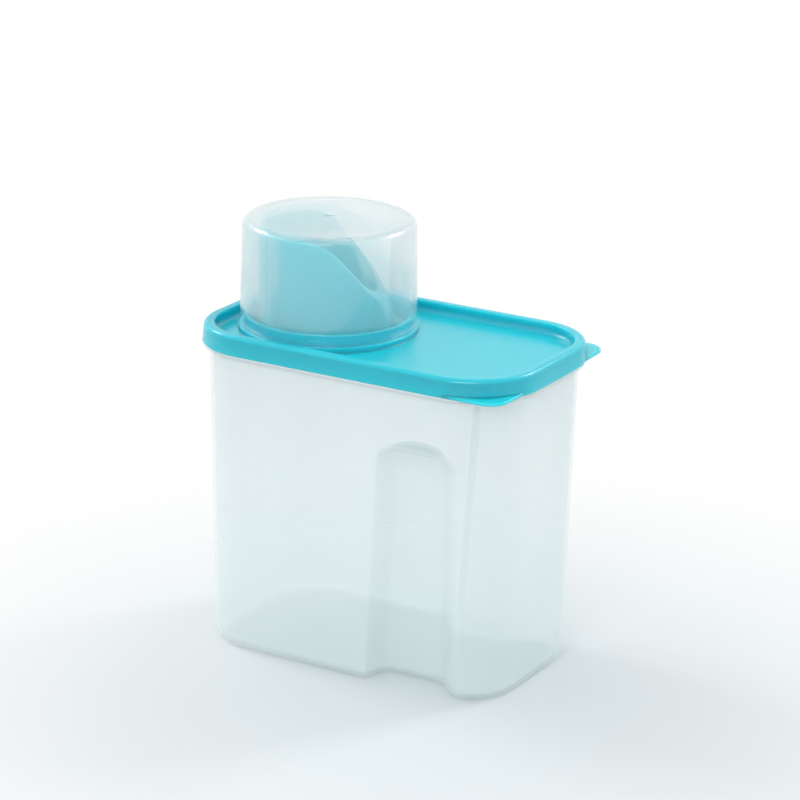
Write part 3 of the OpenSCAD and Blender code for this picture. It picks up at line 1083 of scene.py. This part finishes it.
@dataclass(frozen=True)
class PhotoCamera:
    """Camera at the photograph's viewing angle."""

    place: tuple[float, float, float] = (681.78, -1172.99, 569.33)
    yaw: float = 30.015
    pitch: float = -18.283
    roll: float = 1.136
    focal_pixels: float = 3080.05
    sensor: float = 36.0

    def build(self) -> None:
        """Makes the camera from its heading, pitch and roll, and makes it the scene's camera."""
        yaw, pitch, roll = (math.radians(a) for a in (self.yaw, self.pitch, self.roll))
        flat = math.cos(pitch)
        ahead = Vector((-math.sin(yaw) * flat, math.cos(yaw) * flat, math.sin(pitch)))
        level = Vector((math.cos(yaw), math.sin(yaw), 0.0))
        above = level.cross(ahead)
        right = level * math.cos(roll) + above * math.sin(roll)
        up = above * math.cos(roll) - level * math.sin(roll)
        data = bpy.data.cameras.new("photo_camera")
        data.sensor_width = self.sensor
        data.lens = self.focal_pixels * self.sensor / PHOTO_PIXELS
        data.clip_start, data.clip_end = CLIP_RANGE
        camera = bpy.data.objects.new("photo_camera", data)
        turn = Matrix((right, up, -ahead)).transposed()
        camera.matrix_world = Matrix.Translation(Vector(self.place) * MM) @ turn.to_4x4()
        bpy.context.scene.collection.objects.link(camera)
        bpy.context.scene.camera = camera


@dataclass(frozen=True)
class SoftBox:
    """A soft rectangular lamp that looks at a point."""

    name: str
    place: tuple[float, float, float]
    target: tuple[float, float, float]
    size: tuple[float, float]
    watts: float

    def build(self) -> None:
        """Makes the lamp, turned so that it faces its target."""
        data = bpy.data.lights.new(self.name, "AREA")
        data.shape = "RECTANGLE"
        data.size, data.size_y = self.size
        data.energy = self.watts
        lamp = bpy.data.objects.new(self.name, data)
        lamp.location = self.place
        lamp.rotation_mode = "QUATERNION"
        way = Vector(self.target) - Vector(self.place)
        lamp.rotation_quaternion = way.to_track_quat("-Z", "Y")
        lamp.visible_camera = False
        bpy.context.scene.collection.objects.link(lamp)


@dataclass(frozen=True)
class Floor:
    """Pale floor that is solid round the object and fades into the white backdrop further away. Its
    grey zone, centred right of and in front of the object, is partly painted shade round the
    object; the lamps also cast real shadows on it.
    """

    half: float = 2.0
    drop: float = 0.0002
    # centre, solid and clear place the grey zone that paints shade round the object
    centre: tuple[float, float] = (0.07, -0.05)
    solid: float = 0.05
    clear: float = 0.36
    trace: float = 0.01
    colour: tuple[float, float, float] = (0.61, 0.655, 0.67)
    roughness: float = 0.75

    def material(self) -> bpy.types.Material:
        """Builds the floor's material, whose opacity falls from 1 at solid to trace at clear.

        Returns:
            The material.
        """
        made = bpy.data.materials.new("studio floor with painted shade")
        made.use_nodes = True
        nodes, links = made.node_tree.nodes, made.node_tree.links
        shader = nodes["Principled BSDF"]
        # The grey base colour, solid round centre and faded to white further out, is painted shade
        # round the object; the lamps' real shadows fall on it as well.
        shader.inputs["Base Color"].default_value = (*self.colour, 1.0)
        shader.inputs["Roughness"].default_value = self.roughness
        place = nodes.new("ShaderNodeTexCoord")
        shift = nodes.new("ShaderNodeVectorMath")
        shift.operation = "DISTANCE"
        shift.inputs[1].default_value = (*self.centre, 0.0)
        links.new(place.outputs["Object"], shift.inputs[0])
        span, result = (self.solid, self.clear), (1.0, self.trace)
        fade = map_range(made.node_tree, shift.outputs["Value"], span, result, "SMOOTHSTEP")
        links.new(fade, shader.inputs["Alpha"])
        return made

    def build(self) -> None:
        """Makes the floor, just below the object's underside."""
        half, low = self.half, -self.drop
        mesh = bpy.data.meshes.new("floor")
        rim = [(-half, -half, low), (half, -half, low), (half, half, low), (-half, half, low)]
        mesh.from_pydata(rim, [], [(0, 1, 2, 3)])
        floor = bpy.data.objects.new("floor", mesh)
        bpy.context.scene.collection.objects.link(floor)
        floor.data.materials.append(self.material())


@dataclass(frozen=True)
class Glow:
    """A soft brightening of half the surroundings, strongest in one direction."""

    towards: tuple[float, float, float]
    strength: float


@dataclass(frozen=True)
class Studio:
    """Pale floor, white surroundings and soft lamps."""

    floor: Floor = Floor()
    surround: float = 0.3
    ground: float = 0.15
    backdrop: float = 1.0
    glows: tuple[Glow, ...] = (
        Glow((-0.97, -0.15, 0.2), 1.1),
        Glow((0.94, 0.28, 0.2), 0.8),
    )
    lamps: tuple[SoftBox, ...] = (
        SoftBox("left_softbox", (-1.15, 0.06, 0.92), (-0.03, 0.0, 0.2), (0.36, 0.42), 5.0),
        SoftBox("right_softbox", (0.62, 1.03, 1.05), (-0.03, 0.0, 0.2), (0.36, 0.42), 7.0),
        SoftBox("front_softbox", (0.5, -1.5, 1.0), (0.0, 0.0, 0.1), (1.0, 1.0), 13.5),
    )

    def light(self, tree: bpy.types.NodeTree) -> bpy.types.NodeSocket:
        """How strongly the surroundings light the object from each direction.

        Args:
            tree: Node tree of the world.

        Returns:
            The socket with the strength.
        """
        way = tree.nodes.new("ShaderNodeTexCoord").outputs["Generated"]
        split = tree.nodes.new("ShaderNodeSeparateXYZ")
        tree.links.new(way, split.inputs["Vector"])
        levels = (self.ground, self.surround)
        total = map_range(tree, split.outputs["Z"], HORIZON, levels, "SMOOTHSTEP")
        for glow in self.glows:
            facing = tree.nodes.new("ShaderNodeVectorMath")
            facing.operation = "DOT_PRODUCT"
            facing.inputs[1].default_value = glow.towards
            tree.links.new(way, facing.inputs[0])
            along = facing.outputs["Value"]
            lit = map_range(tree, along, (0.0, 1.0), (0.0, glow.strength), "SMOOTHSTEP")
            total = maths(tree, "ADD", total, lit)
        return total

    def build(self) -> None:
        """Makes floor, surroundings and lamps.

        The camera sees the surroundings as a plain white backdrop, also through the cup and in
        reflections. Diffuse light has the strength that light() gives.
        """
        self.floor.build()
        world = bpy.data.worlds.new("white studio")
        bpy.context.scene.world = world
        world.use_nodes = True
        tree = world.node_tree
        nodes, links = tree.nodes, tree.links
        background = nodes["Background"]
        background.inputs["Color"].default_value = (1.0, 1.0, 1.0, 1.0)
        seen = nodes.new("ShaderNodeLightPath").outputs
        direct = maths(tree, "MAXIMUM", seen["Is Camera Ray"], seen["Is Transmission Ray"])
        strength = nodes.new("ShaderNodeMix")
        links.new(maths(tree, "MAXIMUM", direct, seen["Is Glossy Ray"]), strength.inputs["Factor"])
        links.new(self.light(tree), strength.inputs["A"])
        strength.inputs["B"].default_value = self.backdrop
        links.new(strength.outputs["Result"], background.inputs["Strength"])
        for lamp in self.lamps:
            lamp.build()


def dress(pieces: list[bpy.types.Object], material: bpy.types.Material) -> None:
    """Gives each piece one material and reports it.

    Args:
        pieces: The pieces.
        material: Their material.
    """
    for piece in pieces:
        piece.data.materials.clear()
        piece.data.materials.append(material)
        LOG.info("%s: %d faces, %s", piece.name, len(piece.data.polygons), material.name)


def main() -> None:
    """Builds the camera, the studio and every piece of the object in order."""
    logging.basicConfig(level=logging.INFO, format="%(name)s: %(message)s")
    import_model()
    bpy.context.scene.view_settings.view_transform = "Standard"
    PhotoCamera().build()
    Studio().build()
    surface = moulded_surface()
    bin_model = StorageBin()
    dress([bin_model.build()], FROSTED.material(surface))
    dress(Lid(bin_model.top_outline()).build(), SKY_BLUE.material(surface))
    dress([MeasuringCup().build()], CLEAR.material(surface))


if __name__ == "__main__":
    main()
